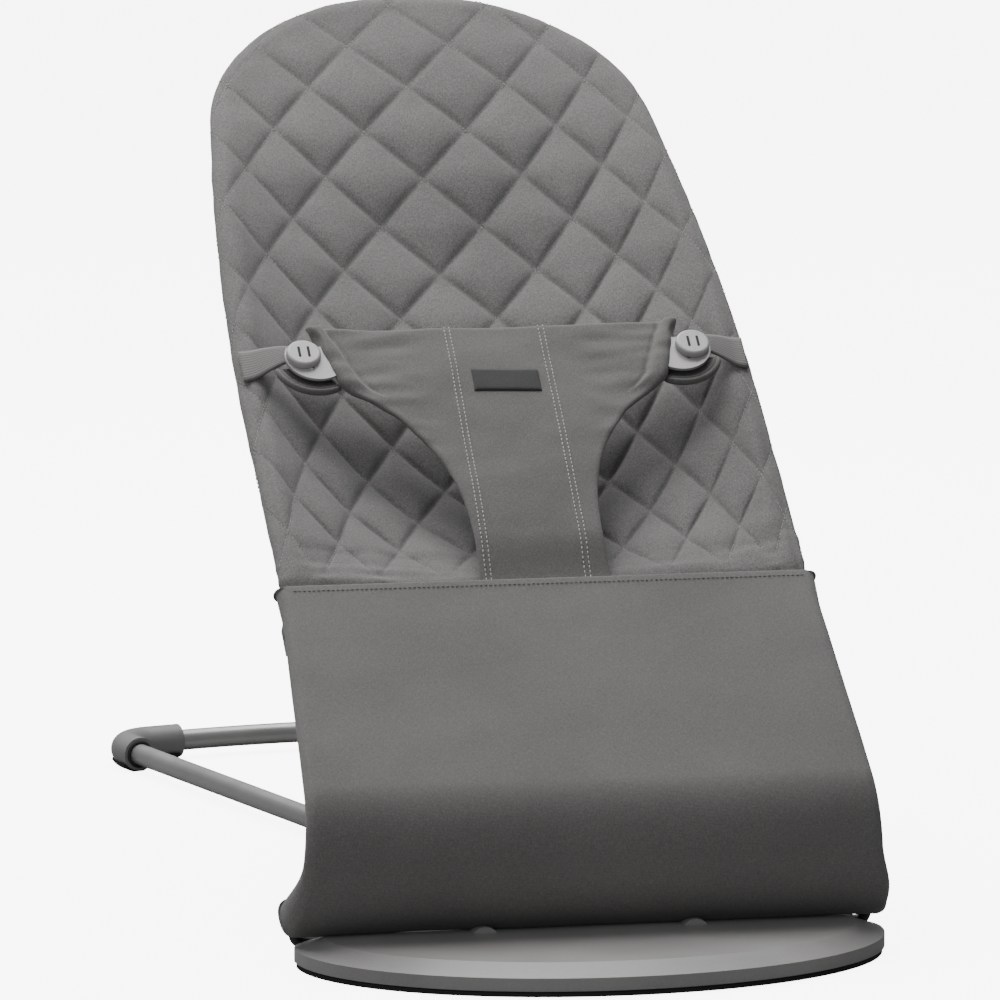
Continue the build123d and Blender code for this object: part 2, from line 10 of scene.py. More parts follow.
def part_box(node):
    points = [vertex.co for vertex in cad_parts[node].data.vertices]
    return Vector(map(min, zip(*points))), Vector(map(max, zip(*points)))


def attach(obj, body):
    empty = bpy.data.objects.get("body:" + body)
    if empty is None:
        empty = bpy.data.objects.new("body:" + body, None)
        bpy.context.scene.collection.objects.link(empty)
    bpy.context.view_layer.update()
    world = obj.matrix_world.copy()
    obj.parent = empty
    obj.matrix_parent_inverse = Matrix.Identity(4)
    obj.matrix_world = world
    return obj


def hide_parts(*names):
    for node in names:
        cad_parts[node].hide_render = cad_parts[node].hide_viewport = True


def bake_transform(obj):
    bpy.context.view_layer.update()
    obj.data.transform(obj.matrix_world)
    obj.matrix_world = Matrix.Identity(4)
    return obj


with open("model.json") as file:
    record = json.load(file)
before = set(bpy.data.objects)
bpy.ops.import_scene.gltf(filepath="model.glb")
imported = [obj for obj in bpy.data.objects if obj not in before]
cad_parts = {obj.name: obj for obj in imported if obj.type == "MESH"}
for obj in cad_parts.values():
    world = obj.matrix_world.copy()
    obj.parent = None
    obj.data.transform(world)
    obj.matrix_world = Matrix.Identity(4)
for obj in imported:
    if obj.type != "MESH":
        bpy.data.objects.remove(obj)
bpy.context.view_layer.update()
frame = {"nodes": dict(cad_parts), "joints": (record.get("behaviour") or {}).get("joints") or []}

# Local sizes are in millimetres, and mesh points are in metres.
MM = 0.001
JOINTS = {joint["name"]: joint for joint in frame["joints"]}
SEAM = np.array(JOINTS["backrest_bounce"]["pos_m"]) / MM
HINGE = np.array(JOINTS["seat_fold"]["pos_m"]) / MM

# Seat wires and cloth, as the CAD parts have them
BACK_TILT = 34.13
FLAP_TILT = 37.0
FLAP_RISE = 9.0
ROLL_BEHIND_HINGE = 2.3
ROLL_HEIGHT = 79.0
ROLL_RADIUS = 43.3
ROLL_UNDER = 60.0
CLOTH_TOP = 8.3
TUBE_RADIUS = 7.5
TUBE_SPLAY = 0.281
EDGE_RADIUS = 7.1
PANEL_EDGE_AT_HINGE = 197.0
PANEL_LEAN = 0.084
OUTLINE = [(177.9, -60), (177.8, 317.3), (149.9, 521.3), (76.9, 606.8)]
OUTLINE_RADII = [2389.0, 142.3, 151.1]

# Quilting: half diagonals of one diamond, one crossing of the stitch lines, and how the lines crowd
# together, by height above the seam and towards the sides
DIAMOND_HALF_WIDTH = 36.25
DIAMOND_HALF_HEIGHT = 41.4
CROSSING = (-12.0, 593.0)
SQUEEZE_UP = [-60, 15, 55, 97, 137, 179, 262, 345, 430, 700]
SQUEEZE = [1.36, 1.36, 1.35, 1.28, 1.23, 1.19, 1.10, 1.03, 1.0, 1.0]
EDGE_CROWD = 0.27
CROWD_REACH = 170
LATTICE_ROWS = (-20, 12)
QUILT_STEPS = 14
QUILT_HEIGHT = 6.0
QUILT_SAG = 0.4
QUILT_THICKNESS = 7.0
STITCH_PITCH = 3.4 * MM

# Folded edges of the front panel, and where the cover passes under its top edge
SEAM_TUCK = 3.9
UNDER_PANEL_LIFT = 1.8
FOLD_RADIUS = 1.7
SEAM_FLARE = 2.5
HEM_SAG = 10.3
HEM_FLARE = 6.5
HEM_RUN = 13.0

ROLL_CENTRE = np.array([HINGE[1] + ROLL_BEHIND_HINGE, ROLL_HEIGHT])


# ---------------------------------------------------------------- frames of reference

def seat_axes(tilt):
    """Directions up the seat and out of the seat, as (y, z)."""
    turn = radians(tilt)
    return np.array([cos(turn), sin(turn)]), np.array([-sin(turn), cos(turn)])


def on_plane(tilt, rise, x, up, out):
    """World points in metres for points in a seat plane that starts on the seam."""
    along, away = seat_axes(tilt)
    lifted = SEAM[1:] + rise * seat_axes(BACK_TILT)[1]
    x, up, out = np.broadcast_arrays(np.asarray(x, float), up, out)
    yz = lifted + up[..., None] * along + out[..., None] * away
    return np.concatenate([x[..., None], yz], axis=-1) * MM


def on_back(x, up, out):
    return on_plane(BACK_TILT, 0.0, x, up, out)


def on_flap(x, up, out):
    return on_plane(FLAP_TILT, FLAP_RISE, x, up, out)


def lower_tilt():
    """Slope of the straight lower seat wire, from the top of the roll to the seam."""
    reach = hypot(*(SEAM[1:] - ROLL_CENTRE))
    rise = degrees(acos((SEAM[1] - ROLL_CENTRE[0]) / reach))
    return rise - degrees(acos(sqrt(reach**2 - ROLL_RADIUS**2) / reach))


LOWER_TILT = lower_tilt()


def fillet_line(points, radii, step=5.0):
    """Polyline with round corners, as an array of points no more than a step apart on the arcs."""
    line = [np.array(points[0], float)]
    for before, here, after, radius in zip(points, points[1:], points[2:], radii):
        before, here, after = (np.array(p, float) for p in (before, here, after))
        first = (before - here) / np.linalg.norm(before - here)
        second = (after - here) / np.linalg.norm(after - here)
        half = acos(np.clip(first @ second, -1, 1)) / 2
        reach = radius / np.tan(half)
        middle = (first + second) / np.linalg.norm(first + second)
        centre = here + middle * radius / sin(half)
        start, end = here + first * reach - centre, here + second * reach - centre
        turn = pi - 2 * half
        for share in np.linspace(0, 1, max(3, int(radius * turn / step))):
            weight = sin((1 - share) * turn), sin(share * turn)
            line.append(centre + (start * weight[0] + end * weight[1]) / sin(turn))
    line.append(np.array(points[-1], float))
    return np.array(line)


# ---------------------------------------------------------------- mesh helpers

def mesh_piece(name, points, faces, material, flat=None, smooth=True):
    """Mesh object from world points in metres; flat gives each point's place on the cut cloth in mm."""
    mesh = bpy.data.meshes.new(name)
    mesh.from_pydata([tuple(p) for p in np.asarray(points)], [], [tuple(f) for f in faces])
    if flat is not None:
        layer = mesh.uv_layers.new(name="cloth")
        corner = np.zeros(len(mesh.loops), int)
        mesh.loops.foreach_get("vertex_index", corner)
        layer.data.foreach_set("uv", (np.asarray(flat)[corner] * MM * 10).ravel())
    mesh.polygons.foreach_set("use_smooth", [smooth] * len(mesh.polygons))
    mesh.materials.append(material)
    mesh.update()
    piece = bpy.data.objects.new(name, mesh)
    bpy.context.scene.collection.objects.link(piece)
    return piece


def grid_faces(rows, columns, closed=False):
    """Quads of a grid of points stored row by row; closed joins the last column to the first."""
    faces = []
    across = columns if closed else columns - 1
    for row in range(rows - 1):
        for column in range(across):
            beside = (column + 1) % columns
            faces.append((row * columns + column, row * columns + beside,
                          (row + 1) * columns + beside, (row + 1) * columns + column))
    return faces


def modify(piece, kind, **settings):
    modifier = piece.modifiers.new(kind.lower(), kind)
    for name, value in settings.items():
        setattr(modifier, name, value)
    return modifier


def apply_modifiers(piece):
    """Turns the modifiers' result into the piece's own mesh."""
    graph = bpy.context.evaluated_depsgraph_get()
    mesh = bpy.data.meshes.new_from_object(piece.evaluated_get(graph))
    piece.modifiers.clear()
    piece.data = mesh
    return piece


def ripple(x, y, scale, seed=0.0):
    """Smooth noise between about -1 and 1 at points (x, y) in mm."""
    flat = np.stack([np.ravel(x), np.ravel(y)], axis=-1) / scale
    values = [noise.noise(Vector((a, b, seed))) for a, b in flat]
    return np.array(values).reshape(np.shape(x)) * 1.6


def capsules(points, directions, normals, length, radius):
    """Small thread stitches: flat-bottomed ridges that lie along a line."""
    side = np.cross(normals, directions)
    rings = []
    for share, size in ((-0.5, 0.25), (-0.32, 1.0), (0.32, 1.0), (0.5, 0.25)):
        for angle in np.arange(6) * pi / 3:
            rings.append(points + directions * share * length
                         + (side * cos(angle) + normals * sin(angle)) * radius * size)
    rings = np.stack(rings, axis=1)
    faces = []
    for index in range(len(points)):
        base = index * 24
        for ring in range(3):
            for corner in range(6):
                beside = (corner + 1) % 6
                low, high = base + ring * 6, base + ring * 6 + 6
                faces.append((low + corner, low + beside, high + beside, high + corner))
        faces.append(tuple(base + corner for corner in reversed(range(6))))
        faces.append(tuple(base + 18 + corner for corner in range(6)))
    return rings.reshape(-1, 3), faces


def stitch_line(line, spacing):
    """Places and directions for stitches along a world polyline in metres."""
    along = np.concatenate([[0], np.cumsum(np.linalg.norm(np.diff(line, axis=0), axis=1))])
    at = np.arange(spacing / 2, along[-1], spacing)
    places = np.stack([np.interp(at, along, line[:, k]) for k in range(3)], axis=1)
    ahead = np.stack([np.interp(at + spacing / 4, along, line[:, k]) for k in range(3)], axis=1)
    behind = np.stack([np.interp(at - spacing / 4, along, line[:, k]) for k in range(3)], axis=1)
    run = ahead - behind
    return places, run / np.linalg.norm(run, axis=1)[:, None]


# ---------------------------------------------------------------- materials

# Scale of a wave texture whose bands are 1 mm apart on the "cloth" map, where one unit is 100 mm
WAVE_PER_MM = 100 * 2 * pi / 20


def new_material(name):
    material = bpy.data.materials.new(name)
    material.use_nodes = True
    tree = material.node_tree
    return material, tree, tree.nodes["Principled BSDF"]


def node(tree, kind, settings=None, **inputs):
    made = tree.nodes.new(kind)
    for key, value in (settings or {}).items():
        setattr(made, key, value)
    for key, value in inputs.items():
        socket = made.inputs[int(key[1:])] if key[0] == "i" and key[1:].isdigit() else made.inputs[key]
        if isinstance(value, bpy.types.NodeSocket):
            tree.links.new(value, socket)
        else:
            socket.default_value = value
    return made


def colour_steps(tree, factor, stops):
    """Colour ramp from (place, grey or colour) stops."""
    ramp = tree.nodes.new("ShaderNodeValToRGB")
    tree.links.new(factor, ramp.inputs[0])
    elements = ramp.color_ramp.elements
    while len(elements) < len(stops):
        elements.new(0.5)
    for element, (place, colour) in zip(elements, stops):
        element.position = place
        element.color = (*colour, 1)
    return ramp.outputs[0]


def shade(colour, factor):
    return tuple(c * factor for c in colour)


def fabric(name, colour, heather=0.28, weave=0.35, worn=0.12, pitch=0.8):
    """Woven cotton: crossing threads, light flecks, slow colour drift and a soft sheen."""
    material, tree, shader = new_material(name)
    cloth = node(tree, "ShaderNodeUVMap", {"uv_map": "cloth"}).outputs[0]
    place = node(tree, "ShaderNodeTexCoord").outputs["Object"]
    threads = WAVE_PER_MM / pitch
    warp = node(tree, "ShaderNodeTexWave", {"bands_direction": "X"}, Vector=cloth, Scale=threads,
                Distortion=0.8, Detail=1.0).outputs["Fac"]
    weft = node(tree, "ShaderNodeTexWave", {"bands_direction": "Y"}, Vector=cloth, Scale=threads,
                Distortion=0.8, Detail=1.0).outputs["Fac"]
    crossing = node(tree, "ShaderNodeMath", {"operation": "MULTIPLY"}, i0=warp, i1=weft).outputs[0]
    flecks = node(tree, "ShaderNodeTexNoise", Vector=place, Scale=900.0, Detail=2.0,
                  Roughness=0.7).outputs["Fac"]
    streaks = node(tree, "ShaderNodeMapping", Vector=cloth, Scale=(260, 30, 1)).outputs[0]
    slub = node(tree, "ShaderNodeTexNoise", Vector=streaks, Scale=1.0, Detail=2.0).outputs["Fac"]
    drift = node(tree, "ShaderNodeTexNoise", Vector=place, Scale=9.0, Detail=3.0).outputs["Fac"]
    base = colour_steps(tree, drift, [(0.3, shade(colour, 1 - worn)), (0.7, shade(colour, 1 + worn))])
    light = colour_steps(tree, flecks, [(0.35, (1 - heather,) * 3), (0.72, (1 + heather,) * 3)])
    long = colour_steps(tree, slub, [(0.35, (1 - heather / 2,) * 3), (0.7, (1 + heather / 2,) * 3)])
    grid = colour_steps(tree, crossing, [(0.0, (1 - weave / 2,) * 3), (0.8, (1 + weave / 3,) * 3)])
    mixed = base
    for layer in (light, long, grid):
        mixed = node(tree, "ShaderNodeMix", {"data_type": "RGBA", "blend_type": "MULTIPLY"},
                     i0=1.0, i6=mixed, i7=layer).outputs[2]
    tree.links.new(mixed, shader.inputs["Base Color"])
    shader.inputs["Roughness"].default_value = 0.92
    shader.inputs["Specular IOR Level"].default_value = 0.25
    shader.inputs["Sheen Weight"].default_value = 0.12
    shader.inputs["Sheen Roughness"].default_value = 0.5
    height = node(tree, "ShaderNodeMath", {"operation": "ADD"}, i0=crossing, i1=flecks).outputs[0]
    bump = node(tree, "ShaderNodeBump", Strength=0.35, Distance=0.00025, Height=height)
    tree.links.new(bump.outputs[0], shader.inputs["Normal"])
    return material


def moulded(name, colour, roughness, grain=0.0002, scale=900.0, gloss=0.5, wear=0.1):
    """Moulded plastic or rubber with fine spark texture and slightly uneven gloss."""
    material, tree, shader = new_material(name)
    place = node(tree, "ShaderNodeTexCoord").outputs["Object"]
    fine = node(tree, "ShaderNodeTexNoise", Vector=place, Scale=scale, Detail=3.0).outputs["Fac"]
    slow = node(tree, "ShaderNodeTexNoise", Vector=place, Scale=12.0, Detail=4.0).outputs["Fac"]
    tone = colour_steps(tree, slow, [(0.3, shade(colour, 1 - wear)), (0.7, shade(colour, 1 + wear))])
    speck = colour_steps(tree, fine, [(0.3, (0.93,) * 3), (0.7, (1.06,) * 3)])
    mixed = node(tree, "ShaderNodeMix", {"data_type": "RGBA", "blend_type": "MULTIPLY"},
                 i0=1.0, i6=tone, i7=speck).outputs[2]
    tree.links.new(mixed, shader.inputs["Base Color"])
    rough = node(tree, "ShaderNodeMapRange", Value=slow, i1=0.3, i2=0.7,
                 i3=roughness - 0.05, i4=roughness + 0.07)
    tree.links.new(rough.outputs[0], shader.inputs["Roughness"])
    shader.inputs["Specular IOR Level"].default_value = gloss
    bump = node(tree, "ShaderNodeBump", Strength=0.3, Distance=grain, Height=fine)
    tree.links.new(bump.outputs[0], shader.inputs["Normal"])
    return material


def painted_tube(name, colour, roughness, metallic):
    """Powder-coated or plated metal with faint orange peel."""
    material, tree, shader = new_material(name)
    place = node(tree, "ShaderNodeTexCoord").outputs["Object"]
    peel = node(tree, "ShaderNodeTexNoise", Vector=place, Scale=420.0, Detail=2.0).outputs["Fac"]
    slow = node(tree, "ShaderNodeTexNoise", Vector=place, Scale=25.0, Detail=3.0).outputs["Fac"]
    tone = colour_steps(tree, slow, [(0.3, shade(colour, 0.93)), (0.7, shade(colour, 1.06))])
    tree.links.new(tone, shader.inputs["Base Color"])
    rough = node(tree, "ShaderNodeMapRange", Value=slow, i1=0.3, i2=0.7,
                 i3=roughness - 0.04, i4=roughness + 0.05)
    tree.links.new(rough.outputs[0], shader.inputs["Roughness"])
    shader.inputs["Metallic"].default_value = metallic
    bump = node(tree, "ShaderNodeBump", Strength=0.12, Distance=0.0002, Height=peel)
    tree.links.new(bump.outputs[0], shader.inputs["Normal"])
    return material


def webbing_material(name, colour):
    """Ribbed woven tape."""
    material, tree, shader = new_material(name)
    cloth = node(tree, "ShaderNodeUVMap", {"uv_map": "cloth"}).outputs[0]
    ribs = node(tree, "ShaderNodeTexWave", {"bands_direction": "X"}, Vector=cloth, Scale=38.0,
                Distortion=0.4).outputs["Fac"]
    rows = node(tree, "ShaderNodeTexWave", {"bands_direction": "Y"}, Vector=cloth, Scale=26.0,
                Distortion=0.4).outputs["Fac"]
    both = node(tree, "ShaderNodeMath", {"operation": "MULTIPLY"}, i0=ribs, i1=rows).outputs[0]
    tone = colour_steps(tree, both, [(0.0, shade(colour, 0.7)), (0.7, shade(colour, 1.25))])
    tree.links.new(tone, shader.inputs["Base Color"])
    shader.inputs["Roughness"].default_value = 0.85
    shader.inputs["Sheen Weight"].default_value = 0.1
    bump = node(tree, "ShaderNodeBump", Strength=0.6, Distance=0.0004, Height=both)
    tree.links.new(bump.outputs[0], shader.inputs["Normal"])
    return material


QUILT_CLOTH = fabric("quilt_cloth", (0.162, 0.158, 0.154))
PANEL_CLOTH = fabric("panel_cloth", (0.165, 0.161, 0.156), heather=0.16, weave=0.25, worn=0.06)
FLAP_CLOTH = fabric("flap_cloth", (0.134, 0.131, 0.127), heather=0.18, weave=0.25, worn=0.07)
LINING_CLOTH = fabric("lining_cloth", (0.085, 0.083, 0.08), heather=0.15, weave=0.3)
LABEL_CLOTH = fabric("label_cloth", (0.05, 0.05, 0.05), heather=0.1, weave=0.5, pitch=0.4)
WEBBING = webbing_material("strap_webbing", (0.17, 0.165, 0.16))
THREAD = moulded("thread", (0.42, 0.41, 0.40), 0.7, scale=3000.0)
SEAM_THREAD = moulded("seam_thread", (0.16, 0.155, 0.15), 0.75, scale=3000.0)
QUILT_THREAD = moulded("quilt_thread", (0.27, 0.265, 0.26), 0.75, scale=3000.0)
PLATE_PLASTIC = moulded("plate_plastic", (0.25, 0.245, 0.24), 0.42, grain=0.0001, gloss=0.4)
DARK_PLASTIC = moulded("dark_plastic", (0.165, 0.164, 0.162), 0.5)
LIGHT_PLASTIC = moulded("light_plastic", (0.34, 0.33, 0.325), 0.32, gloss=0.6)
RUBBER = moulded("grip_rubber", (0.022, 0.022, 0.022), 0.75, gloss=0.3)
TUBE_METAL = painted_tube("tube_metal", (0.33, 0.325, 0.32), 0.38, 0.6)
WIRE_PAINT = painted_tube("wire_paint", (0.015, 0.015, 0.015), 0.45, 0.0)
ZINC = painted_tube("zinc", (0.55, 0.55, 0.55), 0.35, 1.0)


# ---------------------------------------------------------------- quilted seat cover

def outline_lines():
    """Starts and outward normals of the short straight pieces of the whole backrest outline."""
    right = [np.array(p, float) for p in OUTLINE]
    points = right + [np.array((-p[0], p[1])) for p in reversed(right)]
    line = fillet_line(points, OUTLINE_RADII + OUTLINE_RADII[::-1], step=3.0)
    run = np.diff(line, axis=0)
    run /= np.linalg.norm(run, axis=1)[:, None]
    normals = np.stack([run[:, 1], -run[:, 0]], axis=1)
    return line[:-1], normals


EDGE_START, EDGE_NORMAL = outline_lines()


def edge_distance(x, up):
    """Distance inside the backrest outline, and the outward direction there."""
    flat = np.stack([np.ravel(x), np.ravel(up)], axis=1)
    gaps = (EDGE_START[None, :, :] - flat[:, None, :]) * EDGE_NORMAL[None, :, :]
    gaps = gaps.sum(axis=2)
    nearest = gaps.argmin(axis=1)
    return gaps[np.arange(len(flat)), nearest], EDGE_NORMAL[nearest]


def edge_roll(inside):
    """Cloth that turns round the edge wire: (distance inside the outline, drop below the top)."""
    turn = np.clip((EDGE_RADIUS - inside) / EDGE_RADIUS, 0, pi)
    under = np.clip(-inside - (pi - 1) * EDGE_RADIUS, 0, None)
    place = np.where(inside > EDGE_RADIUS, inside, EDGE_RADIUS * (1 - np.sin(turn)) + under)
    return place, EDGE_RADIUS * (1 - np.cos(turn))


DISH_UP = [0, 15, 30, 60, 100, 150, 220, 300, 345, 386, 427, 469, 515, 620]
DISH_DEPTH = [5, 10, 17, 29, 41, 48, 45, 39, 34, 27, 18, 10, 4, 1]


def smooth_table(at, places, values):
    """Smooth curve through a table, with flat-ended cubic pieces."""
    places, values = np.array(places, float), np.array(values, float)
    slopes = np.gradient(values, places)
    index = np.clip(np.searchsorted(places, at) - 1, 0, len(places) - 2)
    span = places[index + 1] - places[index]
    t = np.clip((at - places[index]) / span, 0, 1)
    return (values[index] * (1 + 2 * t) * (1 - t) ** 2 + values[index + 1] * t * t * (3 - 2 * t)
            + slopes[index] * span * t * (1 - t) ** 2 - slopes[index + 1] * span * t * t * (1 - t))


def dish(x, up):
    """How far the cloth hangs below the plane of its edge."""
    half = np.clip(166 - 0.045 * np.clip(up - 200, 0, None), 140, None)
    across = np.clip(np.abs(x) / half, 0, 1)
    return smooth_table(up, DISH_UP, DISH_DEPTH) * (1 - across**2.4)


def lattice_squeeze(up):
    """The stitch lines crowd together sideways towards the seam, where the cloth is gathered."""
    return smooth_table(up, SQUEEZE_UP, SQUEEZE)


def diamond(x, up):
    """Place in the quilting lattice, counted along its two families of stitch lines."""
    beside = x - CROSSING[0]
    bent = 1 + EDGE_CROWD * (beside / CROWD_REACH) ** 2
    right = beside * lattice_squeeze(up) * bent / DIAMOND_HALF_WIDTH
    rise = (up - CROSSING[1]) / DIAMOND_HALF_HEIGHT
    return (right + rise) / 2, (rise - right) / 2


def from_diamond(first, second):
    """The opposite of diamond(), solved with a few Newton steps."""
    up = CROSSING[1] + (first + second) * DIAMOND_HALF_HEIGHT
    target = (first - second) * DIAMOND_HALF_WIDTH / lattice_squeeze(up)
    beside = target
    for _ in range(8):
        bend = EDGE_CROWD * (beside / CROWD_REACH) ** 2
        beside = beside - (beside * (1 + bend) - target) / (1 + 3 * bend)
    return CROSSING[0] + beside, up


def smooth_step(value):
    value = np.clip(value, 0, 1)
    return value * value * (3 - 2 * value)


def quilt_puff(x, up, inside):
    """Padding between the stitch lines: full in the hollow of the seat, tight near its edge."""
    first, second = diamond(x, up)
    pillow = np.abs(np.sin(pi * first) * np.sin(pi * second))
    full = np.clip(inside / 60, 0.0, 1) * np.clip((610 - up) / 180, 0.12, 1)
    low = np.clip((up - 12) / 40, 0, 1)
    edge = 0.2 + 0.8 * smooth_step((inside + 2) / 20)
    height = QUILT_HEIGHT * (0.38 + 0.62 * full) * low * edge
    lean = 1 + QUILT_SAG * (1 - np.mod(first, 1) - np.mod(second, 1))
    binding = 1.3 * np.exp(-(((inside - 5.5) / 2.2) ** 2))
    return height * (pillow**0.45 * lean - 0.35) - binding


def seam_tuck(up):
    """How far the cover sinks to pass under the folded top edge of the front panel."""
    return SEAM_TUCK * (1 - smooth_step((up - 1) / 9))


def cover_surface(x, up, lift=0.0, padded=1.0):
    """World points of the cover, given as x and height above the seam in the plane of the seat."""
    shape = np.shape(x)
    x, up = np.ravel(np.asarray(x, float)), np.ravel(np.asarray(up, float))
    inside, normal = edge_distance(x, up)
    place, drop = edge_roll(inside)
    moved = inside - place
    px, pup = x + normal[:, 0] * moved, up + normal[:, 1] * moved
    under_panel = smooth_step((-1.5 - up) / 5)
    hollow = dish(px, pup) * np.clip((place - 4) / 18, 0, 1) * (1 - under_panel)
    puff = quilt_puff(x, up, inside) * padded + lift - seam_tuck(up)
    turn = np.clip((EDGE_RADIUS - inside) / EDGE_RADIUS, 0, pi)
    out = CLOTH_TOP - drop - hollow + (puff + UNDER_PANEL_LIFT * under_panel) * np.cos(turn)
    spread = (puff + 0.6 * seam_tuck(up)) * np.sin(turn)
    px, pup = px + normal[:, 0] * spread, pup + normal[:, 1] * spread
    return on_back(px, pup, out).reshape(*shape, 3)


def quilt_net():
    """Flat lattice with a row of edges on every stitch line, cut to the cloth's size."""
    even = np.arange(QUILT_STEPS) / QUILT_STEPS
    eased = even * 0.55 + 0.45 * (1 - np.cos(pi * even)) / 2
    ticks = np.concatenate([cell + eased for cell in range(*LATTICE_ROWS)])
    first, second = np.meshgrid(ticks, ticks, indexing="ij")
    x, up = from_diamond(first, second)
    inside, _ = edge_distance(x, up)
    keep = (inside.reshape(x.shape) > -40) & (up > -20) & (up < 660)
    index = np.full(x.shape, -1)
    index[keep] = np.arange(keep.sum())
    points = np.stack([x[keep], up[keep], np.zeros(keep.sum())], axis=1)
    whole = keep[:-1, :-1] & keep[1:, :-1] & keep[1:, 1:] & keep[:-1, 1:]
    i, j = np.nonzero(whole)
    faces = np.stack([index[i, j], index[i + 1, j], index[i + 1, j + 1], index[i, j + 1]], axis=1)
    return points, faces


def clip_to_outline(points, faces, beyond, lowest):
    """The flat net cut off at a distance outside the backrest outline and at a lowest line."""
    mesh = bpy.data.meshes.new("net")
    mesh.from_pydata(points.tolist(), [], faces.tolist())
    net = bmesh.new()
    net.from_mesh(mesh)
    bpy.data.meshes.remove(mesh)
    cuts = [((0, lowest), (0, -1))]
    for start, normal in zip(EDGE_START, EDGE_NORMAL):
        cuts.append((start + normal * beyond, normal))
    for place, normal in cuts:
        bmesh.ops.bisect_plane(net, geom=net.verts[:] + net.edges[:] + net.faces[:], dist=1e-4,
                               plane_co=(place[0], place[1], 0), plane_no=(normal[0], normal[1], 0),
                               clear_outer=True)
    bmesh.ops.remove_doubles(net, verts=net.verts[:], dist=0.05)
    net.verts.ensure_lookup_table()
    net.verts.index_update()
    flat = np.array([v.co[:2] for v in net.verts])
    cut_faces = [tuple(v.index for v in f.verts) for f in net.faces]
    net.free()
    return flat, cut_faces


def quilted_cover():
    """Front cloth of the seat, stitched in diamonds and wrapped round the wire loop."""
    points, faces = quilt_net()
    flat, cut = clip_to_outline(points, faces, 2.14 * EDGE_RADIUS + 8, -7.0)
    x, up = flat[:, 0], flat[:, 1]
    wrinkle = ripple(x, up, 22.0) * 0.35 + ripple(x, up, 9.0, 3.0) * 0.15
    near_seam = smooth_step((up - 3) / 8) * smooth_step((62 - up) / 30)
    creases = ripple(x / 9, up, 6.5, 11.0) * 1.3 * near_seam
    world = cover_surface(x, up, lift=wrinkle + creases)
    cover = mesh_piece("seat_cover_quilted", world, cut, QUILT_CLOTH, flat=flat)
    modify(cover, "SUBSURF", levels=1, render_levels=1)
    apply_modifiers(cover)
    tuple(on_back(0, 0, 0))
    tuple(on_back(0, 60, 0))
    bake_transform(cover)
    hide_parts("seat_cover")
    return cover


def cover_back():
    """Plain back layer of the cover, closed against the wrapped edge by a narrow hem."""
    points, faces = quilt_net()
    flat, cut = clip_to_outline(points, faces, -15.0, -7.0)
    inside, _ = edge_distance(flat[:, 0], flat[:, 1])
    world = cover_surface(flat[:, 0], flat[:, 1], padded=-0.45)
    away = seat_axes(BACK_TILT)[1]
    gap = QUILT_THICKNESS + 4.0 * np.clip((40 - inside) / 25, 0, 1)
    world[:, 1:] -= gap[:, None] * away * MM
    back = mesh_piece("seat_cover_lining", world, [f[::-1] for f in cut], LINING_CLOTH, flat=flat)
    tuple(on_back(0, 0, 0))
    tuple(on_back(0, 60, 0))
    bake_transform(back)
    return back


def quilt_stitches():
    """Thread along every stitch line of the quilting."""
    lines = []
    for fixed in range(*LATTICE_ROWS):
        run = np.arange(*LATTICE_ROWS, 0.02)
        for pair in ((np.full_like(run, fixed), run), (run, np.full_like(run, fixed))):
            x, up = from_diamond(*pair)
            inside, _ = edge_distance(x, up)
            keep = (inside > -16) & (up > 22) & (up < 640)
            if keep.sum() > 8:
                lines.append((x[keep], up[keep]))
    places, runs, normals = [], [], []
    for x, up in lines:
        world = cover_surface(x, up)
        lifted = cover_surface(x, up, lift=1.0)
        outward = lifted - world
        outward /= np.linalg.norm(outward, axis=1)[:, None]
        spot, run = stitch_line(world, STITCH_PITCH)
        along = np.cumsum(np.linalg.norm(np.diff(world, axis=0), axis=1))
        order = np.clip(np.searchsorted(along, np.arange(len(spot)) * STITCH_PITCH), 0, len(world) - 1)
        places.append(spot + outward[order] * 0.1 * MM)
        runs.append(run)
        normals.append(outward[order])
    points, faces = capsules(np.concatenate(places), np.concatenate(runs), np.concatenate(normals),
                             2.3 * MM, 0.28 * MM)
    thread = mesh_piece("quilt_stitching", points, faces, QUILT_THREAD)
    tuple(on_back(0, 0, 0))
    tuple(on_back(0, 60, 0))
    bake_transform(thread)


# ---------------------------------------------------------------- front panel

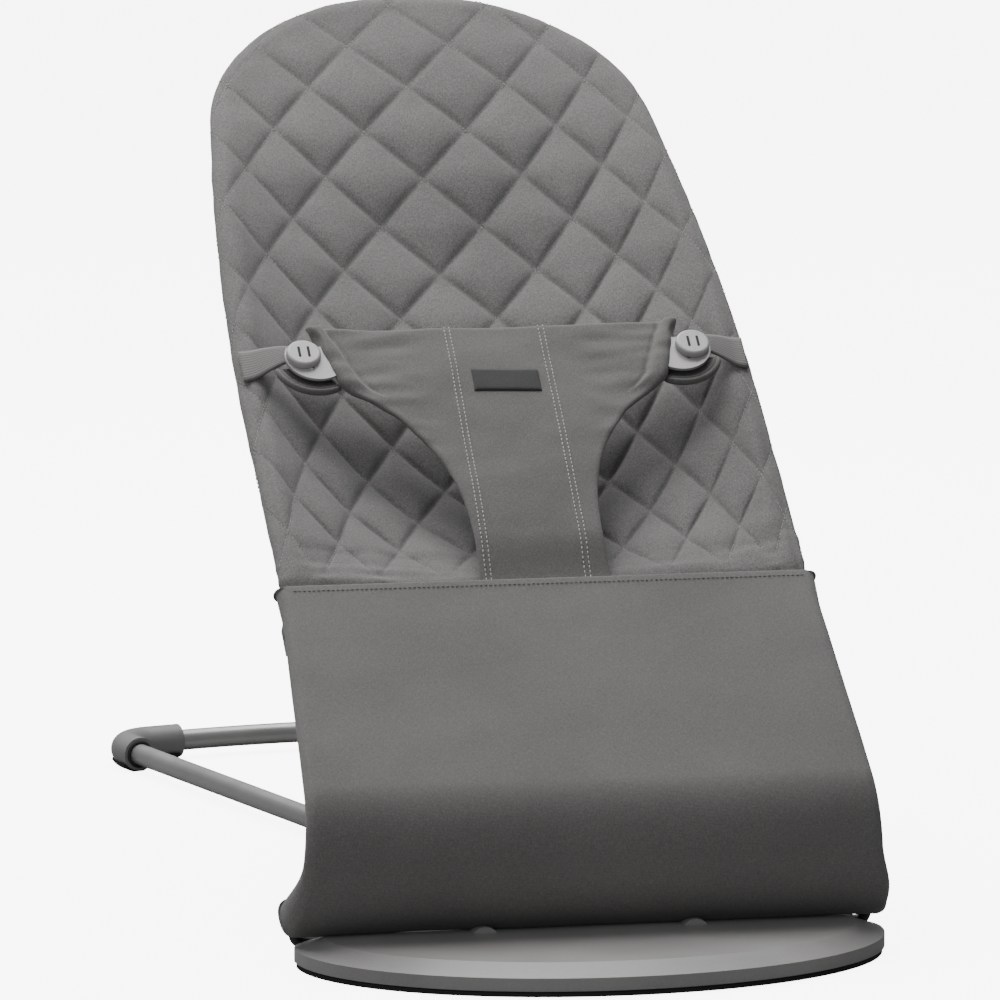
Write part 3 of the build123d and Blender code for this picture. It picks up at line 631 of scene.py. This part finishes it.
def panel_profile(step=4.0):
    """Side view of the panel from its folded hem up to its folded top edge.

    Gives (y, z) points, outward normals, the offset of each fold, the sag of each row and the lengths
    along the cloth.
    """
    up_seat, out_seat = seat_axes(LOWER_TILT)
    run = (SEAM[1:] - ROLL_CENTRE) @ up_seat + 1.0
    under = radians(ROLL_UNDER)
    hem = np.array([sin(under), -cos(under)])
    hem_out = np.array([-cos(under), -sin(under)])
    rows = []
    for turn in np.linspace(200, 0, 11):
        curl = FOLD_RADIUS * (hem_out * (cos(radians(turn)) - 1) + hem * sin(radians(turn)))
        rows.append((ROLL_CENTRE + hem_out * ROLL_RADIUS + hem * HEM_RUN, hem_out, curl, HEM_SAG))
    for along in np.linspace(HEM_RUN, 0, 5)[1:-1]:
        rows.append((ROLL_CENTRE + hem_out * ROLL_RADIUS + hem * along, hem_out, 0 * hem, HEM_SAG))
    top = pi - radians(90 - LOWER_TILT)
    for angle in np.linspace(pi + under, top, 40):
        out = np.array([cos(angle), sin(angle)])
        sag = HEM_SAG * smooth_step((degrees(angle) - 190) / 50)
        rows.append((ROLL_CENTRE + out * ROLL_RADIUS, out, 0 * out, sag))
    start = rows[-1][0]
    for along in np.linspace(0, run, int(run / step))[1:]:
        rows.append((start + up_seat * along, out_seat, 0 * out_seat, 0.0))
    for turn in np.linspace(0, 200, 11)[1:]:
        curl = FOLD_RADIUS * (out_seat * (cos(radians(turn)) - 1) + up_seat * sin(radians(turn)))
        rows.append((start + up_seat * run, out_seat, curl, 0.0))
    points, normals, curls, sags = (np.array(column) for column in zip(*rows))
    places = points + curls
    lengths = np.concatenate([[0], np.cumsum(np.linalg.norm(np.diff(places, axis=0), axis=1))])
    return points, normals, curls, sags, lengths


def panel_half(z):
    """Half width of the panel at a height."""
    return PANEL_EDGE_AT_HINGE - PANEL_LEAN * (z - HINGE[2])


def front_panel():
    points, normals, curls, sags, lengths = panel_profile()
    flat_across = np.concatenate([np.linspace(-23, 0, 16)[:-1], np.linspace(0, 14, 8)[:-1],
                                  np.linspace(14, 180, 34)])
    rows, flat = [], []
    for (y, z), normal, curl, droop, length in zip(points, normals, curls, sags, lengths):
        near_seam = smooth_step(1 - (lengths[-1] - length) / 40)
        edge = panel_half(z) + HEM_FLARE * droop / HEM_SAG + SEAM_FLARE * near_seam
        across = np.where(flat_across > 14, 14 + (flat_across - 14) * (edge - 14) / 166, flat_across)
        place, drop = edge_roll(across)
        x = edge - place
        share = length / lengths[-1]
        sag = 1.6 * np.sin(pi * np.clip(share, 0, 1)) * (1 - (x / edge) ** 2)
        out = CLOTH_TOP - drop - sag * (across > 0) + droop * smooth_step((across + 8) / 14)
        folded = 0.12 + 0.88 * smooth_step((across - 1) / 10)
        row = np.stack([x, y + normal[0] * out + curl[0] * folded,
                        z + normal[1] * out + curl[1] * folded], axis=1)
        mirrored = row[::-1][1:] * np.array([-1, 1, 1])
        rows.append(np.concatenate([row, mirrored]))
        flat_x = edge - across
        flat.append(np.stack([np.concatenate([flat_x, -flat_x[::-1][1:]]),
                              np.full(2 * len(x) - 1, length)], axis=1))
    rows, flat = np.array(rows), np.array(flat)
    cloth_x, cloth_up = flat[..., 0], flat[..., 1]
    bumps = ripple(cloth_x, cloth_up, 70.0, 5.0) * 0.8 + ripple(cloth_x, cloth_up, 26.0, 8.0) * 0.2
    bumps *= smooth_step((lengths[-1] - lengths - 10) / 30)[:, None]
    rows[..., 1:] += normals[:, None, :] * bumps[..., None]
    count = rows.shape[1]
    faces = [f[::-1] for f in grid_faces(len(rows), count)]
    panel = mesh_piece("front_panel_cloth", rows.reshape(-1, 3) * MM, faces, PANEL_CLOTH,
                       flat=flat.reshape(-1, 2))
    modify(panel, "SOLIDIFY", thickness=1.6 * MM, offset=-1.0)
    modify(panel, "SUBSURF", levels=1, render_levels=1)
    apply_modifiers(panel)
    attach(panel, "seat_lower")
    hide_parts("front_panel")
    return panel


def seam_stitches():
    """One row of thread that holds the panel's folded top edge."""
    up_seat, out_seat = seat_axes(LOWER_TILT)
    reach = (SEAM[1:] - ROLL_CENTRE) @ up_seat - 3.2
    seam = ROLL_CENTRE + out_seat * ROLL_RADIUS + up_seat * reach
    x = np.linspace(-172, 172, 160)
    height = CLOTH_TOP + 0.25
    world = np.stack([x, np.full_like(x, seam[0] + out_seat[0] * height),
                      np.full_like(x, seam[1] + out_seat[1] * height)], axis=1) * MM
    places, runs = stitch_line(world, 3.2 * MM)
    out = np.repeat(np.concatenate([[0], out_seat])[None, :], len(places), axis=0)
    points, faces = capsules(places, runs, out, 2.2 * MM, 0.3 * MM)
    thread = mesh_piece("seam_stitching", points, faces, SEAM_THREAD)
    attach(thread, "seat_lower")


# ---------------------------------------------------------------- restraint

FLAP_TOP = 236.0
FLAP_EDGE_UP = [-4, 25, 58, 90, 118, 138, 152, 161, 168, 173, 178, 192, 215, 237]
FLAP_EDGE_X = [45, 43.5, 44.5, 49.5, 59, 70.5, 80.5, 90, 98.5, 105, 110, 115.5, 121.5, 129]
FLAP_THICK = 4.4
WING_FOLD = 3.6
RIM_X = 125.0
RIM_UP = 208.0
RIM_RINGS = 46
STRAP_UP = 215.0

# Buttons: face above the flap's plane, and the path they slide along with the room that they need
BUTTON_FACE = 10.2
BUTTON_X = 134.0
BUTTON_PATH_MIDDLE = 213.5
BUTTON_PATH_HALF = 5.5
BUTTON_ROOM = 12.4
CLOTH_BELOW_BUTTON = 4.6


def flap_edge(up):
    return smooth_table(up, FLAP_EDGE_UP, FLAP_EDGE_X)


def wing_fold(x, up):
    """Soft roll where a wing's cloth turns back round the keyhole plate, with a crease inside it."""
    inside = flap_edge(up) - np.abs(x)
    width = 15.5 - 4.5 * np.clip((up - 180) / 55, 0, 1)
    across = (inside - width / 2) / (width / 2)
    roll = np.sqrt(np.clip(1 - across**2, 0, 1))
    crease = np.exp(-(((inside - width - 0.8) / 1.7) ** 2))
    shown = smooth_step((up - 166) / 18)
    return (WING_FOLD * roll - 1.3 * crease) * shown


def flap_height(x, up):
    """Height of the flap's face above its plane: it bows over the child and lifts to the buttons."""
    bow = 3.0 * np.sin(pi * np.clip(up / FLAP_TOP, 0, 1)) * (1 - np.clip(np.abs(x) / 130, 0, 1) ** 2)
    lift = 2.5 * np.clip((np.abs(x) - 60) / 60, 0, 1)
    tuck = 7.4 * (1 - smooth_step((up + 1) / 42))
    fold = ripple(x, up, 55.0, 2.0) * 1.1 + ripple(x, up, 22.0, 6.0) * 0.35
    pull = 0.9 * ripple(x, up * 3.2, 34.0, 15.0) * smooth_step((np.abs(x) - 42) / 30)
    height = 2.6 + bow + lift - tuck + (fold + pull) * smooth_step(up / 40) + wing_fold(x, up)
    beyond_path = np.clip(np.abs(up - BUTTON_PATH_MIDDLE) - BUTTON_PATH_HALF, 0, None)
    beside_button = np.hypot(np.abs(x) - BUTTON_X, beyond_path)
    return np.minimum(height, CLOTH_BELOW_BUTTON + 1.8 * np.clip(beside_button - BUTTON_ROOM, 0, None))


def restraint_flap():
    up = np.linspace(-4.0, FLAP_TOP, 120)
    half = flap_edge(up)
    share = np.sin(np.linspace(-1, 1, 101) * pi / 2 * 0.9) / sin(pi / 2 * 0.9)
    x = half[:, None] * share[None, :]
    ups = np.repeat(up[:, None], len(share), axis=1)
    thick = 1.2 + (FLAP_THICK - 1.2) * smooth_step((ups - 2) / 22)
    margin = np.minimum(half[:, None] - np.abs(x), (FLAP_TOP - ups))
    crown = thick / 2 * (1 - np.sqrt(np.clip(1 - (1 - np.clip(margin / 4.0, 0, 1)) ** 2, 0, 1)))
    height = flap_height(x, ups)
    top = on_flap(x, ups, height - crown)
    bottom = on_flap(x, ups, height - thick + crown - wing_fold(x, ups) * 0.8)
    rows, columns = x.shape
    points = np.concatenate([top.reshape(-1, 3), bottom.reshape(-1, 3)])
    faces = grid_faces(rows, columns)
    offset = rows * columns
    faces += [tuple(offset + i for i in f[::-1]) for f in faces]
    rim = ([(0, c) for c in range(columns)]
           + [(r, columns - 1) for r in range(1, rows)]
           + [(rows - 1, c) for c in range(columns - 2, -1, -1)]
           + [(r, 0) for r in range(rows - 2, 0, -1)])
    index = [r * columns + c for r, c in rim]
    for here, there in zip(index, index[1:] + index[:1]):
        faces.append((there, here, here + offset, there + offset))
    flat = np.stack([x.ravel(), ups.ravel()], axis=1)
    flap = mesh_piece("restraint_cloth", points, faces, FLAP_CLOTH, flat=np.concatenate([flat, flat]))
    modify(flap, "SUBSURF", levels=1, render_levels=1)
    apply_modifiers(flap)
    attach(flap, "backrest")
    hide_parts("restraint_flap")


def flap_stitches():
    """Two double rows of light topstitching down the strap."""
    places, runs = [], []
    for top_x, bottom_x in ((-31.5, -38.5), (33.5, 28.5)):
        for beside in (-1.8, 1.8):
            up = np.linspace(FLAP_TOP - 0.5, 1, 240)
            share = (FLAP_TOP - up) / 234
            x = top_x + (bottom_x - top_x) * share + beside
            margin = np.clip((FLAP_TOP - up) / 4.0, 0, 1)
            rounded = FLAP_THICK / 2 * (1 - np.sqrt(1 - (1 - margin) ** 2))
            world = on_flap(x, up, flap_height(x, up) - rounded + 0.1)
            spot, run = stitch_line(world, 3.6 * MM)
            places.append(spot)
            runs.append(run)
    places, runs = np.concatenate(places), np.concatenate(runs)
    out = np.concatenate([[0], seat_axes(FLAP_TILT)[1]])
    normals = np.repeat(out[None, :], len(places), axis=0)
    points, faces = capsules(places, runs, normals, 2.5 * MM, 0.4 * MM)
    thread = mesh_piece("strap_topstitching", points, faces, THREAD)
    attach(thread, "backrest")


def label():
    """Small woven label with no marking, sewn on the strap."""
    half_width, half_height = 23, 10.5
    columns, rows = 25, 13
    x, up = np.meshgrid(np.linspace(-half_width, half_width, columns),
                        np.linspace(-half_height, half_height, rows))
    turn = radians(-1.5)
    turned_x = 1 + x * cos(turn) - up * sin(turn)
    turned_up = 181 + x * sin(turn) + up * cos(turn)
    edge = np.clip(np.minimum(half_width - np.abs(x), half_height - np.abs(up)) / 1.5, 0, 1)
    height = flap_height(turned_x, turned_up) + 0.5 + 0.7 * np.sqrt(edge)
    points = on_flap(turned_x, turned_up, height)
    patch = mesh_piece("label_blank", points.reshape(-1, 3), grid_faces(rows, columns), LABEL_CLOTH,
                       flat=np.stack([x.ravel(), up.ravel()], axis=1))
    modify(patch, "SOLIDIFY", thickness=0.8 * MM, offset=-1.0)
    apply_modifiers(patch)
    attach(patch, "backrest")
    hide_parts("label_patch")


def side_straps():
    for word, side in (("left", -1), ("right", 1)):
        stations = np.linspace(0, 1, 30)
        x = 124 + 50 * stations
        out = smooth_table(x, [122, 136, 147, 158, 166, 176], [1.6, 1.6, 0.8, -3.5, -7.5, -9.5])
        across = np.linspace(-7.5, 7.5, 9)
        spread = 1 + 0.9 * smooth_step((stations[None, :] - 0.3) / 0.7)
        ups = STRAP_UP + across[:, None] * spread
        curl = 0.4 * np.cos(across / 7.5 * pi / 2)
        xs = np.repeat(side * x[None, :], len(across), axis=0)
        points = on_flap(xs, ups, out[None, :] + curl[:, None])
        flat = np.stack([np.repeat(50 * stations[None, :], 9, axis=0).ravel(),
                         np.repeat(across[:, None], 30, axis=1).ravel()], axis=1)
        faces = grid_faces(9, 30)
        strap = mesh_piece(f"webbing_{word}", points.reshape(-1, 3),
                           [f[::-1] for f in faces] if side < 0 else faces, WEBBING, flat=flat)
        modify(strap, "SOLIDIFY", thickness=1.3 * MM, offset=-1.0)
        apply_modifiers(strap)
        tuple(on_flap(side * 140, STRAP_UP, 0))
        tuple(on_flap(side * 168, STRAP_UP, 0))
        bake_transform(strap)
        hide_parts(f"side_strap_{word}")


def wing_rims():
    """Padded cloth rim and sunk pocket under each keyhole plate, swept round its lower edge."""
    profile = [(8, -3.4), (16, -3.4), (21, -3.2), (23.2, -2.2), (23.6, -0.4), (24.3, 0.9),
               (25.3, 1.3), (26.1, 0.9), (26.5, 0.5), (27.0, 1.3), (28.0, 2.1), (29.2, 1.7),
               (30.1, 0.4), (30.3, -1.2), (29.6, -2.8), (27.6, -4.0), (22, -4.8), (8, -4.8)]
    for word, side in (("left", -1), ("right", 1)):
        rings, flat = [], []
        for share in np.linspace(0, 1, RIM_RINGS):
            angle = radians(238 + 112 * share)
            close = sqrt(max(0.0, 1 - (2 * abs(share - 0.5)) ** 8))
            for reach, high in profile:
                radius = 27 + (reach - 27) * (0.25 + 0.75 * close) if reach > 21 else reach
                x = RIM_X + radius * cos(angle)
                up = RIM_UP + radius * sin(angle)
                rings.append((side * x, up, -2 + (high + 2) * (0.3 + 0.7 * close)))
                flat.append((27 * (angle - 4), reach))
        x, up, out = np.array(rings).T
        faces = grid_faces(RIM_RINGS, len(profile), closed=True)
        rim = mesh_piece(f"wing_rim_cloth_{word}", on_flap(x, up, out),
                         [f[::-1] for f in faces] if side > 0 else faces, FLAP_CLOTH, flat=np.array(flat))
        modify(rim, "SUBSURF", levels=1, render_levels=1)
        apply_modifiers(rim)
        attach(rim, "backrest")
        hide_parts(f"wing_rim_{word}")


# ---------------------------------------------------------------- carried-over parts

def dress(names, material):
    """Gives CAD parts their material; a pair of parts is named once, without its side."""
    for name in names:
        targets = [name] if name in frame["nodes"] else [f"{name}_left", f"{name}_right"]
        for target in targets:
            part = frame["nodes"][target]
            part.data.materials.clear()
            part.data.materials.append(material)


def dress_all():
    dress(["base_plate_cover"], PLATE_PLASTIC)
    dress(["base_plate_tray", "hinge_bush", "elbow", "bow_rack", "bow_bracket"], DARK_PLASTIC)
    dress(["keyhole_plate", "button_head", "button_washer"], LIGHT_PLASTIC)
    dress(["base_grip_ring", "elbow_foot"], RUBBER)
    dress(["rear_tube", "side_tube"], TUBE_METAL)
    dress(["support_bow", "hem_rod", "backrest_wire", "lower_wire"], WIRE_PAINT)
    dress(["base_plate_screws", "elbow_rivets", "rack_screws"], ZINC)


def tube_gaskets():
    """Dark sealing ring where each side tube leaves its moulded corner."""
    splay = atan(TUBE_SPLAY)
    along = np.array([sin(splay), cos(splay), 0])
    beside, above = np.array([cos(splay), -sin(splay), 0]), np.array([0, 0, 1.0])
    for word, side in (("left", -1), ("right", 1)):
        low, high = (np.array(corner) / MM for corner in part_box(f"elbow_{word}"))
        tube_low, tube_high = (np.array(corner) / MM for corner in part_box(f"side_tube_{word}"))
        y = low[1] + (high[2] - low[2]) / 2 * sin(splay)
        tube_end = max(abs(tube_low[0]), abs(tube_high[0])) - TUBE_RADIUS * cos(splay)
        x = tube_end - TUBE_SPLAY * (tube_high[1] - TUBE_RADIUS * sin(splay) - y)
        centre = np.array([x, y, (low[2] + high[2]) / 2])
        around, across = 48, 10
        points = []
        for turn in np.arange(around) * 2 * pi / around:
            spoke = beside * cos(turn) + above * sin(turn)
            for tilt in np.arange(across) * 2 * pi / across:
                radius = TUBE_RADIUS + 1.1 + 1.3 * cos(tilt)
                points.append(centre + spoke * radius - along * 1.3 * sin(tilt))
        points = np.array(points)
        points[:, 0] *= side
        faces = []
        for here in range(around):
            beyond = (here + 1) % around
            for c in range(across):
                following = (c + 1) % across
                faces.append((here * across + c, here * across + following,
                              beyond * across + following, beyond * across + c))
        ring = mesh_piece(f"tube_gasket_{word}", points * MM, [f[::side] for f in faces], RUBBER)
        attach(ring, "base")


def button_slots():
    """Two dark grip slots on the face of each button."""
    along, _ = seat_axes(FLAP_TILT)
    start = SEAM[1:] + FLAP_RISE * seat_axes(BACK_TILT)[1]
    outline = ((-0.9, -4.2), (-0.5, -4.8), (0.5, -4.8), (0.9, -4.2),
               (0.9, 4.2), (0.5, 4.8), (-0.5, 4.8), (-0.9, 4.2))
    for word in ("left", "right"):
        low, high = (np.array(corner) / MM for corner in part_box(f"button_head_{word}"))
        centre = (low + high) / 2
        up = (centre[1:] - start) @ along
        points, faces = [], []
        for beside in (-3.2, 3.2):
            first = len(points)
            for height in (9.4, BUTTON_FACE + 0.08):
                points += [(centre[0] + beside + dx, up + du, height) for dx, du in outline]
            count = len(outline)
            faces.append(tuple(first + count + k for k in range(count)))
            faces.append(tuple(first + k for k in reversed(range(count))))
            for k in range(count):
                following = (k + 1) % count
                faces.append((first + k, first + following, first + count + following, first + count + k))
        x, ups, out = np.array(points).T
        slots = mesh_piece(f"button_slots_{word}", on_flap(x, ups, out), faces, RUBBER, smooth=False)
        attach(slots, f"button_{word}")


# ---------------------------------------------------------------- stage

FLOOR_GLOW = 7.0
AMBIENT = 0.26
BACKDROP = 16.0
CAMERA_FROM_HINGE = (-1.27271, -5.95684, 1.23199)


def seen_by_camera(tree):
    return node(tree, "ShaderNodeLightPath").outputs["Is Camera Ray"]


def floor():
    """Pale studio floor; indirect light sees it darker, so the panel keeps its shaded lower half."""
    material, tree, shader = new_material("studio_floor")
    shader.inputs["Roughness"].default_value = 0.35
    shader.inputs["Specular IOR Level"].default_value = 0.35
    seen = seen_by_camera(tree)
    tone = node(tree, "ShaderNodeMix", {"data_type": "RGBA"}, i0=seen, i6=(0.25, 0.25, 0.25, 1),
                i7=(0.9, 0.9, 0.9, 1))
    tree.links.new(tone.outputs[2], shader.inputs["Base Color"])
    shader.inputs["Emission Color"].default_value = (1.0, 1.0, 1.0, 1)
    glow = node(tree, "ShaderNodeMath", {"operation": "MULTIPLY"}, i0=seen, i1=FLOOR_GLOW)
    tree.links.new(glow.outputs[0], shader.inputs["Emission Strength"])
    mesh = bpy.data.meshes.new("floor")
    reach = 30.0
    corners = [(-reach, -reach, 0), (reach, -reach, 0), (reach, reach, 0), (-reach, reach, 0)]
    mesh.from_pydata(corners, [], [(0, 1, 2, 3)])
    mesh.materials.append(material)
    plane = bpy.data.objects.new("floor", mesh)
    bpy.context.scene.collection.objects.link(plane)


def area_light(name, place, target, size, power):
    light = bpy.data.lights.new(name, "AREA")
    light.shape = "RECTANGLE"
    light.size, light.size_y = size
    light.energy = power
    lamp = bpy.data.objects.new(name, light)
    bpy.context.scene.collection.objects.link(lamp)
    lamp.location = place
    lamp.rotation_euler = (Vector(target) - Vector(place)).to_track_quat("-Z", "Y").to_euler()


def studio():
    """Soft light from above and behind with a weak fill; the camera sees a bright white backdrop."""
    world = bpy.data.worlds.new("studio")
    world.use_nodes = True
    background = world.node_tree.nodes["Background"]
    strength = node(world.node_tree, "ShaderNodeMix", {"data_type": "FLOAT"},
                    i0=seen_by_camera(world.node_tree), i2=AMBIENT, i3=BACKDROP)
    world.node_tree.links.new(strength.outputs[0], background.inputs[1])
    background.inputs[0].default_value = (0.96, 0.97, 1.0, 1)
    bpy.context.scene.world = world
    area_light("overhead", (-0.35, 0.9, 2.4), (0, 0, 0.2), (2.3, 2.3), 128)
    area_light("front_fill", (-1.5, -2.8, 2.2), (0, 0, 0.3), (1.6, 1.6), 26)


def camera():
    data = bpy.data.cameras.new("camera")
    data.sensor_width = 36.0
    data.lens = 342.0
    data.clip_end = 200.0
    view = bpy.data.objects.new("camera", data)
    across, back, up = CAMERA_FROM_HINGE
    view.location = (across, HINGE[1] * MM + back, up)
    view.rotation_euler = (radians(90 - 8.731), 0, radians(-11.560))
    bpy.context.scene.collection.objects.link(view)
    bpy.context.scene.camera = view


# ---------------------------------------------------------------- assembly


dress_all()
quilted_cover()
cover_back()
quilt_stitches()
front_panel()
restraint_flap()
flap_stitches()
label()
side_straps()
wing_rims()
seam_stitches()
tube_gaskets()
button_slots()
floor()
studio()
camera()
